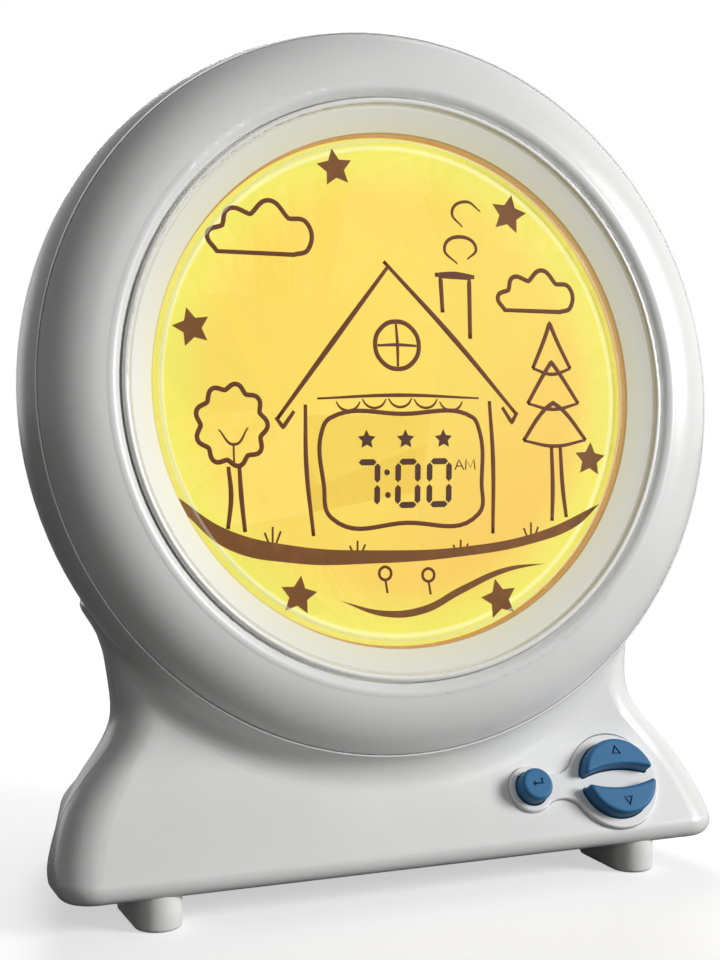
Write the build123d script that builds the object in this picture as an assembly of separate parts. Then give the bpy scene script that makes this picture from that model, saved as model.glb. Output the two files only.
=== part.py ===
from build123d import *
import os
from math import atan2, cos, degrees, radians, sin, sqrt, tan

# Bedside alarm clock with a lit picture dial and a night light.
# Millimetres, +Z up, front towards -Y, origin on the floor under the middle.
# "Dial frame": x to the right, y into the clock, z up along the tilted dial,
# with its origin at the middle of the dial.
# "Key frame": x to the right, y up the sloped face of the base, z out of it.

# ---------------------------------------------------------------- whole clock
tilt = 6.0
dial_height = 119.1
bezel_front = 43.46
seam = 0.3
wall = 2.2
snug = 0.1
loose = 0.35
screw_clear = 0.1
touching = 0.005
room = 300.0

# ---------------------------------------------------------------- round head
rim_r = 85.4
rim_depth = 6.6
belly_r = 87.3
belly_depth = 12.0
cone_r = 86.1
cone_depth = 22.0
parting_depth = 20.0
dome_edge_r = 79.0
dome_edge_depth = 55.0
dome_depth = 59.4
dome_round = 29.0

# ---------------------------------------------------------------- base
floor_gap = 7.3
waist_half = 66.5
waist_height = 46.4
neck_r = 52.0
flare_r = 14.0
flare_angle = 40.0
hip_r = 40.0
base_half = 83.8
neck_depth = 14.5
neck_back_depth = 32.0
face_lean = 31.0
back_lean = 38.0
toe = 9.2
back_edge = 48.18
tuck = 1.6
tuck_height = 6.5
face_blend = 6.0
corner_round = 9.0
side_taper = 15.0
side_fall = 0.2
fall_start = 14.0
fall_rise = 12.0
turn_round = 8.0
turn_room = 2.6
back_round = 16.0
foot_edge_round = 3.5
valley_round = 7.0
neck_top = 70.5

# ---------------------------------------------------------------- front rings
bezel_bore = 68.2
bezel_r = 84.9
bezel_crest_r = 71.5
bezel_crest = 1.0
bezel_wall = 2.0
bezel_clear = 0.15
bezel_screw_r = 77.0
bezel_screw_angle = 15.0
bezel_screws_count = 6
bezel_screw_length = 5.5
bezel_post_r = 2.6
bezel_post_depth = 1.6
bezel_pilot_depth = 3.0
deck_depth = 9.0
deck_thick = 2.2
deck_bite = 0.3
deck_bore = 60.5
trim_bore = 66.35
trim_r = 67.85
trim_seat = 4.0
trim_crest = 0.75
dish_r = 66.0
dish_inner_r = 60.3
dish_rim_depth = 0.55
dish_floor_depth = 3.3
dish_thick = 1.6
dish_flange = 1.4

# ---------------------------------------------------------------- picture stack
lens_r = 60.1
lens_bevel = 1.8
lens_bevel_drop = 0.5
lens_face = 3.0
lens_flange_r = 63.9
lens_flange_depth = 5.0
lens_back = 6.0
film_thick = 0.3
diffuser_thick = 2.7
lcd_width = 48.0
lcd_height = 28.0
lcd_x = 1.0
lcd_z = -20.0
lcd_clear = 0.5
frame_thick = 2.0
frame_border = 4.0
frame_lip = 3.0

# ---------------------------------------------------------------- light box
box_r = 59.0
box_wall = 1.5
box_flange_r = 68.0
box_depth = 22.8
box_screw_r = 65.0
box_screw_angle = 45.0
box_screw_length = 3.4
led_r = 2.5
led_length = 5.0
led_ring = 26.0
led_ring_count = 8
led_core = 10.0
led_core_count = 4
led_hole_clear = 0.7
led_board_r = 38.0
led_board_gap = 0.5
led_board_screw_r = 33.5
led_board_screw_angle = 90.0
led_board_screw_length = 3.0
led_post_r = 2.2
board_thick = 1.6

# ---------------------------------------------------------------- main board
main_width = 100.0
main_height = 66.0
main_z = -5.0
main_gap = 6.5
main_post_x = 44.0
main_post_z = 27.0
main_post_r = 3.0
main_screw_length = 6.0
header_width = 12.0
header_height = 2.6
header_z = 22.0
chip_side = 12.0
chip_thick = 1.6
cap_r = 3.2
cap_length = 7.0

# ---------------------------------------------------------------- keys
key_height = 22.0
ok_x = 31.7
ok_r = 4.0
pair_x = 54.8
pair_r = 9.5
pair_gap = 2.2
pair_bulge = 1.7
plate_r = 12.0
plate_ok_r = 5.7
plate_neck = 6.4
plate_blend = 5.8
plate_proud = 1.5
plate_sunk = 0.6
key_proud = 4.0
key_round = 0.9
mark_depth = 0.35
mark_line = 0.4
mark_size = 1.6
flange_out = 0.8
flange_top = 2.4
flange_thick = 1.0
stem_r = 1.6
stem_end = 4.6
pair_stem = 4.6
key_travel = 0.6
plunger_r = 1.2
plunger_end = 6.6
plunger_clear = 0.1
switch_side = 4.6
switch_top = 5.4
switch_height = 2.2
key_board_thick = 1.4
key_board_left = 25.0
key_board_right = 66.4
key_board_low = 7.0
key_board_high = 12.8
key_boss_r = 2.0
key_screw_length = 4.5
key_pilot_depth = 4.0
key_boss_places = ((42.6, 6.6), (42.6, -4.6), (63.2, 10.4))

# ---------------------------------------------------------------- feet
foot_x = 60.6
rear_foot_x = 56.0
foot_half = 5.4
foot_length = 25.0
front_foot_nose = 5.2
rear_foot_tail = 13.5
foot_stem_r = 3.0
foot_barb = 0.8
foot_barb_height = 2.4
foot_seam_gap = 2.0

# ---------------------------------------------------------------- screws
post_r = 3.5
sleeve_r = 5.2
sleeve_seat = 4.0
screw_r = 1.4
screw_head_r = 2.9
screw_head = 2.0
head_post_r = 74.0
head_post_angles = (30.0, 90.0, 150.0, 232.0, 308.0)
pilot_depth = 6.6
pilot_spare = 0.6
peg_x = 72.5
peg_height = 24.0
peg_r = 2.2
peg_reach = 6.0
peg_clear = 0.15
small_screw_r = 0.9
small_head_r = 1.9
small_head = 1.2

# ---------------------------------------------------------------- speaker, inlet
speaker_x = -38.0
speaker_y = 3.0
speaker_r = 18.0
speaker_height = 5.0
magnet_r = 9.5
magnet_height = 6.0
grille_slots = 5
grille_pitch = 5.0
grille_width = 2.0
inlet_x = 44.0
inlet_height = 17.5
inlet_face = 33.0
inlet_body = 12.0
inlet_length = 12.0
inlet_nose_r = 4.5
inlet_bore_r = 3.0
inlet_bore_depth = 10.0
inlet_pin_r = 1.0
inlet_cup_r = 8.5
inlet_well_r = 6.5

# ---------------------------------------------------------------- wires
wire_r = 1.1
cable_rise = 12.0
key_cable_place = (48.0, 6.5)
socket_places = (-34.0, -20.0, 20.0, 34.0)
socket_width = 8.0
socket_height = 6.0
socket_depth = 5.0
socket_rise = 1.0
ribbon_width = 18.0
ribbon_thick = 0.4

# ------------------------------------------------------- values worked out here
tilt_sin = sin(radians(tilt))
tilt_cos = cos(radians(tilt))
bezel_rise = rim_depth + bezel_crest
bezel_run = bezel_r - bezel_crest_r
bezel_arc = (bezel_run**2 + bezel_rise**2) / (2 * bezel_rise)
crest_centre_depth = bezel_arc - bezel_crest
front_reach = bezel_arc + bezel_crest_r * tilt_sin - crest_centre_depth * tilt_cos
dial_y = front_reach - bezel_front
deck_back = deck_depth + deck_thick
deck_r = belly_r - wall + deck_bite
box_back = deck_back + box_depth + box_wall
led_board_depth = box_back + led_board_gap
main_depth = box_back + main_gap
main_back = main_depth + board_thick
inside_floor = floor_gap + wall
flare = radians(flare_angle)
flare_low = waist_height - flare_r * sin(flare)
flare_half = waist_half + flare_r * (1 - cos(flare))
hip_half = base_half - hip_r + hip_r * cos(flare)
hip_height = flare_low - (hip_half - flare_half) / tan(flare)
key_face_y = dial_y - toe + (key_height - floor_gap) * tan(radians(face_lean))
key_top = plate_proud + key_proud
switch_foot = switch_top + switch_height

key_plane = Plane(
    origin=(0, key_face_y, key_height),
    x_dir=(1, 0, 0),
    z_dir=(0, -cos(radians(face_lean)), sin(radians(face_lean))),
)
MIN_END = (Align.CENTER, Align.CENTER, Align.MIN)


# ---------------------------------------------------------------- small helpers
def in_dial(shape):
    """Carry a shape from the dial frame to the clock's frame."""
    return shape.moved(Location((0, dial_y, dial_height), (-tilt, 0, 0)))


def in_keys(shape):
    """Carry a shape from the key frame to the clock's frame."""
    return shape.moved(key_plane.location)


def turned(profile):
    """Turn a list of (radius, depth) corners about the dial axis."""
    corners = [(depth, radius) for radius, depth in profile]
    face = Plane.YZ * make_face(Polyline(*corners, close=True))
    return revolve(face, axis=Axis.Y)


def rod(radius, near, far, x=0.0, z=0.0):
    """Round bar along the dial axis from depth near to depth far."""
    bar = Cylinder(radius, far - near, align=MIN_END)
    return Pos(x, near, z) * Rot(-90, 0, 0) * bar


def slab(width, height, near, far, x=0.0, z=0.0):
    """Block from depth near to depth far, centred on x and z."""
    return Pos(x, (near + far) / 2, z) * Box(width, far - near, height)


def around(count, radius, start=0.0):
    """Places evenly round the dial axis, as (x, z)."""
    turns = [radians(start + 360.0 * i / count) for i in range(count)]
    return [(radius * cos(a), radius * sin(a)) for a in turns]


def total(shapes):
    """Join shapes that may stay separate solids."""
    joined = shapes[0]
    for shape in shapes[1:]:
        joined = joined + shape
    return joined


def along(points, radius, bends):
    """Round wire along straight runs joined by tangent arcs."""
    path = FilletPolyline(*points, radius=bends)
    section = Plane(origin=path @ 0, z_dir=path % 0) * Circle(radius)
    return sweep(section, path=path)


def bend_radii(points):
    """Largest arc that each corner's two runs leave room for."""
    radii = []
    for before, corner, after in zip(points, points[1:], points[2:]):
        first = Vector(*corner) - Vector(*before)
        second = Vector(*after) - Vector(*corner)
        turn = radians(first.get_angle(second))
        radii.append(0.45 * min(first.length, second.length) / tan(turn / 2))
    return radii


# ---------------------------------------------------------------- outer forms
def plain_half(height):
    """Half width of the base without its tuck: neck arc, flare arc, straight, hip arc."""
    if height >= waist_height:
        return waist_half + neck_r - sqrt(neck_r**2 - (height - waist_height) ** 2)
    if height >= flare_low:
        return waist_half + flare_r - sqrt(flare_r**2 - (height - waist_height) ** 2)
    if height >= hip_height:
        return flare_half + (flare_low - height) * tan(flare)
    rise = max(height - hip_height + hip_r * sin(flare), 0.0)
    return base_half - hip_r + sqrt(hip_r**2 - rise**2)


def half_width(height):
    """Half width of the base, which tucks in towards the floor."""
    low = max(floor_gap + tuck_height - height, 0.0) / tuck_height
    return plain_half(height) - tuck * low**2


def blended(first, second, softness):
    """The lower of two values, with a soft change from one to the other."""
    gap = (first - second) / 2
    return (first + second) / 2 - sqrt(gap**2 + (softness / 4) ** 2)


def front_line(height):
    """Y of the base's front: the sloped face below, the neck above."""
    face = dial_y - toe + (height - floor_gap) * tan(radians(face_lean))
    neck = dial_y + neck_depth / tilt_cos + (height - dial_height) * tan(radians(tilt))
    return blended(face, neck, face_blend)


def back_line(height):
    """Y of the base's back: the sloped back below, the neck above."""
    back = back_edge - (height - floor_gap) * tan(radians(back_lean))
    neck = dial_y + neck_back_depth / tilt_cos + (height - dial_height) * tan(radians(tilt))
    return -blended(-back, -neck, face_blend)


def parting_y(height):
    """Y of the parting plane at a height."""
    return dial_y + parting_depth / tilt_cos + (height - dial_height) * tan(radians(tilt))


def turn_line(height):
    """Y at which the base's sides begin to close in towards the back."""
    nearest = front_line(height) + corner_round + turn_room
    return -blended(-nearest, -parting_y(height), face_blend)


def tail_half(height, run):
    """Half width at the back of the sides, where the flare sits lower than at the front."""
    share = min(max(height - fall_start, 0.0) / fall_rise, 1.0)
    change = plain_half(height + side_fall * run) - plain_half(height)
    return half_width(height) + share * change - run * tan(radians(side_taper))


def base_outline(half, tail, front, turn, back, corner, back_corner):
    """Plan of the base: straight front sides, tapered rear sides, round corners."""
    places = [(-half, front), (half, front), (half, turn), (tail, back), (-tail, back), (-half, turn)]
    shape = make_face(Polyline(*places, close=True))
    for x, y, radius in ((half, front, corner), (half, turn, turn_round), (tail, back, back_corner)):
        pair = [shape.vertices().sort_by_distance((side * x, y, 0))[0] for side in (-1, 1)]
        shape = fillet(pair, radius)
    return shape


def base_form(inset):
    """Flared base as one loft of its plans, inset all round."""
    foot = floor_gap + inset
    rise = neck_top - foot
    shares = (0.0, 0.04, 0.09, 0.15, 0.22, 0.31, 0.4, 0.48, 0.56, 0.64, 0.77, 0.88, 1.0)
    levels = []
    for share in shares:
        height = foot + share * rise
        front = front_line(height) + inset
        turn = turn_line(height)
        back = back_line(height) - inset
        half = half_width(height) - inset
        tail = tail_half(height, back - turn) - inset
        corner = corner_round - 0.7 * inset
        back_corner = min(back_round - inset, 0.8 * (back - turn))
        outline = base_outline(half, tail, front, turn, back, corner, back_corner)
        levels.append(Pos(0, 0, height) * outline)
    form = loft(levels)
    return fillet(form.edges().group_by(Axis.Z)[0], foot_edge_round - inset)


def head_form(inset):
    """Round head: curved flank, cone behind the parting plane, rear dome."""
    rim = (rim_depth + inset, rim_r - inset)
    belly = (belly_depth, belly_r - inset)
    cone = (cone_depth, cone_r - inset)
    edge = (dome_edge_depth - inset, dome_edge_r - inset)
    pole = (dome_depth - inset, 0)
    rise = dome_depth - dome_edge_depth
    crown_r = (edge[1] ** 2 + rise**2) / (2 * rise)
    half = edge[1] / 2
    crown_mid = (pole[0] - crown_r + sqrt(crown_r**2 - half**2), half)
    outline = Polyline(pole, (rim[0], 0), rim)
    outline += ThreePointArc(rim, belly, cone)
    outline += Line(cone, edge)
    outline += ThreePointArc(edge, crown_mid, pole)
    section = make_face(outline)
    corner = section.vertices().sort_by_distance((edge[0], edge[1], 0))[0]
    section = fillet(corner, dome_round - inset)
    return revolve(Plane.YZ * section, axis=Axis.Y)


def dial_depth(point):
    """Depth of a point behind the dial's plane."""
    return (point.Y - dial_y) * tilt_cos - (point.Z - dial_height) * tilt_sin


def softened(form, head, base, near, far):
    """Round the valley between head and base from depth near to depth far."""
    valley = []
    for edge in form.edges():
        middle = edge @ 0.5
        shared = head.distance_to(middle) < touching and base.distance_to(middle) < touching
        if shared and near < dial_depth(middle) < far:
            valley.append(edge)
    return fillet(valley, valley_round)


def front_form(head, base):
    """Outside of the front shell, solid."""
    end = parting_depth - seam / 2
    form = (head + base) & in_dial(slab(2 * room, 2 * room, -room, end))
    return softened(form, head, base, rim_depth, end - touching)


def rear_form(head, base):
    """Outside of the rear shell, solid."""
    start = parting_depth + seam / 2
    form = (head + base) & in_dial(slab(2 * room, 2 * room, start, room))
    return softened(form, head, base, (start + dome_edge_depth) / 2, room)


def inner_form():
    """The hollow inside head and base."""
    return in_dial(head_form(wall)) + base_form(wall)


# ---------------------------------------------------------------- key outlines
def crescent(side, grow):
    """Crescent above (side 1) or below (side -1) the gap of the key pair."""
    end = pair_gap / 2
    reach = sqrt(pair_r**2 - end**2)
    arc_r = (reach**2 + pair_bulge**2) / (2 * pair_bulge)
    disc = Pos(pair_x, 0) * Circle(pair_r)
    bite = Pos(pair_x, side * (end + pair_bulge - arc_r)) * Circle(arc_r)
    beyond = Pos(pair_x, -side * 2 * pair_r) * Rectangle(4 * pair_r, 4 * pair_r + 2 * end)
    shape = disc - bite - beyond
    if grow == 0:
        return fillet(shape.vertices(), 0.6)
    return offset(fillet(shape.vertices(), 0.6), grow)


def ok_outline(grow):
    return Pos(ok_x, 0) * Circle(ok_r + grow)


def plate_outline(grow):
    """Two round lobes joined by a waisted neck."""
    neck_half = plate_neck / 2
    neck = Pos((ok_x + pair_x) / 2, 0) * Rectangle(pair_x - ok_x, 2 * neck_half)
    lobes = Pos(ok_x, 0) * Circle(plate_ok_r) + Pos(pair_x, 0) * Circle(plate_r)
    shape = lobes + neck
    corners = shape.vertices().filter_by(lambda v: ok_x < v.X < pair_x)
    soft = fillet(corners, plate_blend)
    return soft if grow == 0 else offset(soft, grow)


# ---------------------------------------------------------------- housings
def front_housing(outer, inner):
    """Front shell of head and base, with the deck that carries the dial."""
    shell = outer - inner
    mouth = in_dial(rod(bezel_r + bezel_clear, -20, deck_depth))
    deck = in_dial(turned([
        (deck_bore, deck_depth),
        (deck_r, deck_depth),
        (deck_r, deck_back),
        (deck_bore, deck_back),
    ]))
    shell = shell - mouth + deck
    for x, z in head_posts():
        shell = shell + in_dial(rod(post_r, deck_back - 0.5, parting_depth - seam / 2, x, z))
    for x, z in peg_places():
        bar = in_dial(rod(post_r, -10, parting_depth - seam / 2, x, z))
        shell = shell + (bar & outer)
        shell = shell + in_dial(rod(peg_r, parting_depth - 1, parting_depth + peg_reach, x, z))
    for x, y in key_boss_places:
        boss = Pos(x, y, -switch_foot) * Cylinder(key_boss_r, switch_foot - 0.6, align=MIN_END)
        shell = shell + in_keys(boss)
    for x, z in head_posts():
        hole = rod(screw_r + screw_clear, parting_depth - pilot_depth, parting_depth, x, z)
        shell = shell - in_dial(hole)
    for x, y in key_boss_places:
        pilot = Pos(x, y, -switch_foot) * Cylinder(
            small_screw_r + screw_clear, key_pilot_depth, align=MIN_END)
        shell = shell - in_keys(pilot)
    for x, z in bezel_screw_places():
        shell = shell - in_dial(rod(small_screw_r + screw_clear, deck_depth - 1, deck_back + 1, x, z))
    for x, z in box_screw_places():
        shell = shell - in_dial(rod(small_screw_r + screw_clear, deck_depth - 1, deck_back + 1, x, z))
    pocket = Pos(0, 0, -plate_sunk) * extrude(plate_outline(snug), 12)
    shell = shell - in_keys(pocket)
    for outline in (ok_outline(loose), crescent(1, loose), crescent(-1, loose)):
        shell = shell - in_keys(Pos(0, 0, -6) * extrude(outline, 12))
    for side in (1, -1):
        well = Pos(0, 0, -plunger_end) * extrude(crescent(side, flange_out + loose), plunger_end)
        shell = shell - in_keys(well & Pos(pair_x, 0, -plunger_end) * Cylinder(
            2 * pair_r, 2 * (plunger_end - flange_top + seam / 2)))
    return shell


def rear_housing(outer, inner):
    """Rear shell with the screw sleeves, the inlet cup and the grille."""
    shell = outer - inner
    start = parting_depth + seam / 2
    for x, z in peg_places():
        socket = in_dial(rod(sleeve_r, start, 140, x, z)) & outer
        shell = shell + socket - in_dial(rod(peg_r + peg_clear, start - 1, start + peg_reach + loose, x, z))
    for x, z in head_posts():
        sleeve = in_dial(rod(sleeve_r, start, 140, x, z)) & outer
        bore = in_dial(rod(screw_r + 2 * screw_clear, start - 1, start + 20, x, z))
        tunnel = in_dial(rod(screw_head_r + loose, start + sleeve_seat, 160, x, z))
        shell = shell + sleeve - bore - tunnel
    cup = Pos(inlet_x, inlet_face - wall, inlet_height) * Rot(-90, 0, 0)
    shell = shell + (cup * Cylinder(inlet_cup_r, 40, align=MIN_END) & outer)
    shell = shell - cup * Cylinder(inlet_nose_r + snug, 40, align=MIN_END)
    shell = shell - Pos(0, wall, 0) * cup * Cylinder(inlet_well_r, 40, align=MIN_END)
    rest_top = inlet_height - inlet_body / 2
    rest_y = inlet_face - wall - inlet_length / 2
    rest = Pos(inlet_x, rest_y, (inside_floor - 1 + rest_top) / 2)
    shell = shell + rest * Box(6, 6, rest_top - inside_floor + 1)
    for i in range(grille_slots):
        shift = (i - (grille_slots - 1) / 2) * grille_pitch
        length = 2 * sqrt((0.75 * speaker_r) ** 2 - shift**2)
        slot = Pos(speaker_x + shift, speaker_y, floor_gap + wall / 2)
        shell = shell - slot * extrude(SlotOverall(length, grille_width, rotation=90), 10, both=True)
    for side in (-1, 1):
        for x, y in ((foot_x, front_stem_y()), (rear_foot_x, rear_foot_y())):
            shell = shell - Pos(side * x, y, 0) * Cylinder(foot_stem_r + snug, 40)
    return shell


def head_posts():
    """Screw places round the head, in the dial frame."""
    turns = [radians(a) for a in head_post_angles]
    return [(head_post_r * cos(a), head_post_r * sin(a)) for a in turns]


def peg_places():
    """Places of the two pegs that line up the base's halves, in the dial frame."""
    z = (peg_height - dial_height) / tilt_cos
    return [(-peg_x, z), (peg_x, z)]


def bezel_screw_places():
    return around(bezel_screws_count, bezel_screw_r, bezel_screw_angle)


def box_screw_places():
    return around(4, box_screw_r, box_screw_angle)


def led_screw_places():
    return around(3, led_board_screw_r, led_board_screw_angle)


# ---------------------------------------------------------------- front rings
def bezel_ring():
    """Convex ring round the dial, hollow behind, on six short posts."""
    crest = (-bezel_crest, bezel_crest_r)
    outer_end = (rim_depth, bezel_r)
    half_turn = atan2(bezel_rise, bezel_run)
    skin_mid = (
        crest_centre_depth - bezel_arc * cos(half_turn),
        bezel_crest_r + bezel_arc * sin(half_turn),
    )
    lip = (0.5, bezel_bore)
    lip_mid = (-bezel_crest + 0.45, bezel_bore + 0.85)
    under_arc = bezel_arc - bezel_wall
    under_mid = (
        crest_centre_depth - under_arc * cos(half_turn),
        bezel_crest_r + under_arc * sin(half_turn),
    )
    skirt_r = bezel_r - bezel_wall
    under_depth = crest_centre_depth - sqrt(under_arc**2 - (skirt_r - bezel_crest_r) ** 2)
    under_end = (under_depth, skirt_r)
    outline = Polyline((deck_depth, bezel_bore), lip)
    outline += ThreePointArc(lip, lip_mid, crest)
    outline += ThreePointArc(crest, skin_mid, outer_end)
    outline += Polyline(outer_end, (deck_depth, bezel_r), (deck_depth, skirt_r), under_end)
    outline += ThreePointArc(under_end, under_mid, (bezel_wall - bezel_crest, bezel_crest_r))
    outline += Polyline(
        (bezel_wall - bezel_crest, bezel_crest_r),
        (bezel_wall - bezel_crest, bezel_bore + 1.8),
        (deck_depth, bezel_bore + 1.8),
        (deck_depth, bezel_bore),
    )
    ring = revolve(Plane.YZ * make_face(outline), axis=Axis.Y)
    for x, z in bezel_screw_places():
        ring = ring + rod(bezel_post_r, bezel_post_depth, deck_depth, x, z)
        ring = ring - rod(small_screw_r + screw_clear, bezel_pilot_depth, deck_depth + 1, x, z)
    return in_dial(ring)


def trim_ring():
    """Slim rounded bead between bezel and dish."""
    middle = (trim_bore + trim_r) / 2
    outline = Polyline((0, trim_bore), (trim_seat, trim_bore), (trim_seat, trim_r), (0, trim_r))
    outline += ThreePointArc((0, trim_r), (-trim_crest, middle), (0, trim_bore))
    return in_dial(revolve(Plane.YZ * make_face(outline), axis=Axis.Y))


def dish_ring():
    """Shallow cream dish from the bead down to the lens, on a tall foot."""
    return in_dial(turned([
        (dish_inner_r, dish_floor_depth),
        (dish_r - 0.4, dish_rim_depth),
        (dish_r, dish_rim_depth + 0.3),
        (dish_r, trim_seat),
        (trim_r + 0.15, trim_seat),
        (trim_r + 0.15, trim_seat + dish_flange),
        (dish_r, trim_seat + dish_flange),
        (dish_r, deck_depth),
        (dish_r - dish_thick, deck_depth),
        (dish_r - dish_thick, dish_rim_depth + 2.2),
        (dish_inner_r, dish_floor_depth + dish_thick),
    ]))


def clear_lens():
    """Clear window with a bevelled edge and a flange behind the dish."""
    return in_dial(turned([
        (0, lens_face),
        (lens_r - lens_bevel, lens_face),
        (lens_r, lens_face + lens_bevel_drop),
        (lens_r, lens_flange_depth),
        (lens_flange_r, lens_flange_depth),
        (lens_flange_r, lens_back),
        (0, lens_back),
    ]))


# ---------------------------------------------------------------- picture stack
def picture_film():
    return in_dial(rod(lens_flange_r, lens_back, lens_back + film_thick))


def diffuser_plate():
    """Milky plate behind the film, with a window for the time display."""
    plate = rod(lens_flange_r, lens_back + film_thick, deck_depth)
    window = slab(lcd_width + lcd_clear, lcd_height + lcd_clear, lens_back, 20, lcd_x, lcd_z)
    return in_dial(plate - window)


def lcd_panel():
    near = lens_back + film_thick
    return in_dial(slab(lcd_width, lcd_height, near, deck_depth, lcd_x, lcd_z))


def lcd_frame():
    """Frame behind the display, glued to the diffuser."""
    far = deck_depth + frame_thick
    width = lcd_width + 2 * frame_border
    height = lcd_height + 2 * frame_border
    frame = slab(width, height, deck_depth, far, lcd_x, lcd_z)
    opening = slab(lcd_width - frame_lip, lcd_height - frame_lip, 0, 50, lcd_x, lcd_z)
    exit_cut = slab(ribbon_width + 1, 3 * frame_border, 0, 50, lcd_x, lcd_z - height / 2)
    return in_dial(frame - opening - exit_cut)


# ---------------------------------------------------------------- light box
def light_box():
    """White cup that spreads the light, with posts for the main board."""
    cup = turned([
        (box_r - box_wall, deck_back),
        (box_flange_r, deck_back),
        (box_flange_r, deck_back + box_wall),
        (box_r, deck_back + box_wall),
        (box_r, box_back),
        (0, box_back),
        (0, box_back - box_wall),
        (box_r - box_wall, box_back - box_wall),
    ])
    for x, z in main_posts():
        cup = cup + rod(main_post_r, box_back, main_depth, x, z)
        cup = cup - rod(small_screw_r + screw_clear, box_back + 1, main_depth + 1, x, z)
    for x, z in led_screw_places():
        cup = cup + rod(led_post_r, box_back, led_board_depth, x, z)
        cup = cup - rod(small_screw_r + screw_clear, box_back - 5, led_board_depth + 1, x, z)
    for x, z in led_places():
        cup = cup - rod(led_r + led_hole_clear, box_back - 5, box_back + 5, x, z)
    for x, z in box_screw_places():
        cup = cup - rod(small_screw_r + screw_clear, deck_back - 1, deck_back + 5, x, z)
    slot_near = deck_back + box_wall + 0.6
    slot = slab(ribbon_width + 2, 6, slot_near, slot_near + 3.0, lcd_x, -box_r)
    return in_dial(cup - slot)


def main_posts():
    places = []
    for x in (-main_post_x, main_post_x):
        for z in (main_z - main_post_z, main_z + main_post_z):
            places.append((x, z))
    return places


def led_places():
    return around(led_ring_count, led_ring) + around(led_core_count, led_core, 45.0)


def led_board():
    board = rod(led_board_r, led_board_depth, led_board_depth + board_thick)
    for x, z in led_screw_places():
        board = board - rod(small_screw_r + screw_clear, led_board_depth - 1, 60, x, z)
    return in_dial(board)


def leds():
    """Twelve round lamps that look through the light box."""
    lamps = []
    for x, z in led_places():
        tip = led_board_depth - led_length
        lamp = rod(led_r, tip + led_r, led_board_depth, x, z)
        lamps.append(lamp + Pos(x, tip + led_r, z) * Sphere(led_r))
    return in_dial(total(lamps))


# ---------------------------------------------------------------- main board
def main_board():
    board = slab(main_width, main_height, main_depth, main_back, 0, main_z)
    for x, z in main_posts():
        board = board - rod(small_screw_r + screw_clear, main_depth - 1, main_back + 1, x, z)
    return in_dial(board)


def main_parts():
    """Controller chip, memory chip and three capacitors."""
    pieces = [
        slab(chip_side, chip_side, main_back, main_back + chip_thick, -8, main_z + 4),
        slab(0.5 * chip_side, 0.42 * chip_side, main_back, main_back + chip_thick, 12, main_z + 6),
    ]
    for i in range(3):
        pieces.append(rod(cap_r, main_back, main_back + cap_length, 24 + 8 * i, main_z + 18))
    return in_dial(total(pieces))


def plugs():
    """Cable sockets along the lower edge of the main board."""
    middle = main_z - main_height / 2 + socket_rise + socket_height / 2
    pieces = []
    for x in socket_places:
        pieces.append(slab(socket_width, socket_height, main_back, main_back + socket_depth, x, middle))
    return in_dial(total(pieces))


def ribbon_socket():
    low = main_z - main_height / 2 + 2.5
    return in_dial(slab(ribbon_width + 3, 4, main_back, main_back + 2.4, lcd_x, low))


def led_header():
    """Pin header between lamp board and main board."""
    near = led_board_depth + board_thick
    return in_dial(slab(header_width, header_height, near, main_depth, 0, header_z))


# ---------------------------------------------------------------- keys
def button_plate():
    body = Pos(0, 0, -plate_sunk) * extrude(plate_outline(0), plate_sunk + plate_proud)
    body = fillet(body.edges().group_by(Axis.Z)[-1], 0.5)
    for outline in (ok_outline(loose), crescent(1, loose), crescent(-1, loose)):
        body = body - Pos(0, 0, -6) * extrude(outline, 12)
    return in_keys(body)


def key(outline, flange, stem_x, stem_y, mark):
    """Cap with a rounded top, a flange behind the shell and a short stem."""
    cap = Pos(0, 0, -flange_top - flange_thick) * extrude(outline, flange_top + flange_thick + key_top)
    cap = fillet(cap.edges().group_by(Axis.Z)[-1], key_round)
    cap = cap + Pos(0, 0, -flange_top - flange_thick) * extrude(flange, flange_thick)
    stem_length = stem_end - flange_top - flange_thick
    cap = cap + Pos(stem_x, stem_y, -stem_end) * Cylinder(stem_r, stem_length, align=MIN_END)
    return in_keys(cap - Pos(0, 0, key_top - mark_depth) * extrude(mark, 2))


def triangle_mark(side):
    """Outlined triangle that points up (side 1) or down (side -1)."""
    inner = pair_gap / 2 + pair_bulge
    middle = Pos(pair_x, side * (inner + pair_r) / 2)
    tip = Rot(0, 0, 90 * side)
    whole = RegularPolygon(mark_size, 3)
    return middle * tip * (whole - offset(whole, -mark_line))


def enter_mark():
    """Bent arrow: a bar down, a bar to the left and a small head."""
    half = 0.7 * mark_size
    shape = Pos(half, half / 2) * Rectangle(mark_line, half + mark_line)
    shape += Pos(0, 0) * Rectangle(2 * half + mark_line, mark_line)
    shape += Pos(-half, 0) * Rot(0, 0, 180) * RegularPolygon(0.5 * mark_size, 3)
    return Pos(ok_x, 0) * shape


def key_places():
    """Where each key meets its switch, in the key frame."""
    return {"ok": (ok_x, 0.0), "up": (pair_x, pair_stem), "down": (pair_x, -pair_stem)}


def plunger(name):
    x, y = key_places()[name]
    bar = Cylinder(plunger_r, plunger_end - stem_end, align=MIN_END)
    return in_keys(Pos(x, y, -plunger_end) * bar)


def switches():
    """Three small push switches on the key board."""
    bodies = []
    for x, y in key_places().values():
        body = Pos(x, y, -switch_foot) * Box(switch_side, switch_side, switch_height, align=MIN_END)
        depth = plunger_end + key_travel + plunger_clear
        well = Pos(x, y, -depth) * Cylinder(plunger_r + plunger_clear, 10, align=MIN_END)
        bodies.append(body - well)
    return in_keys(total(bodies))


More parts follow.
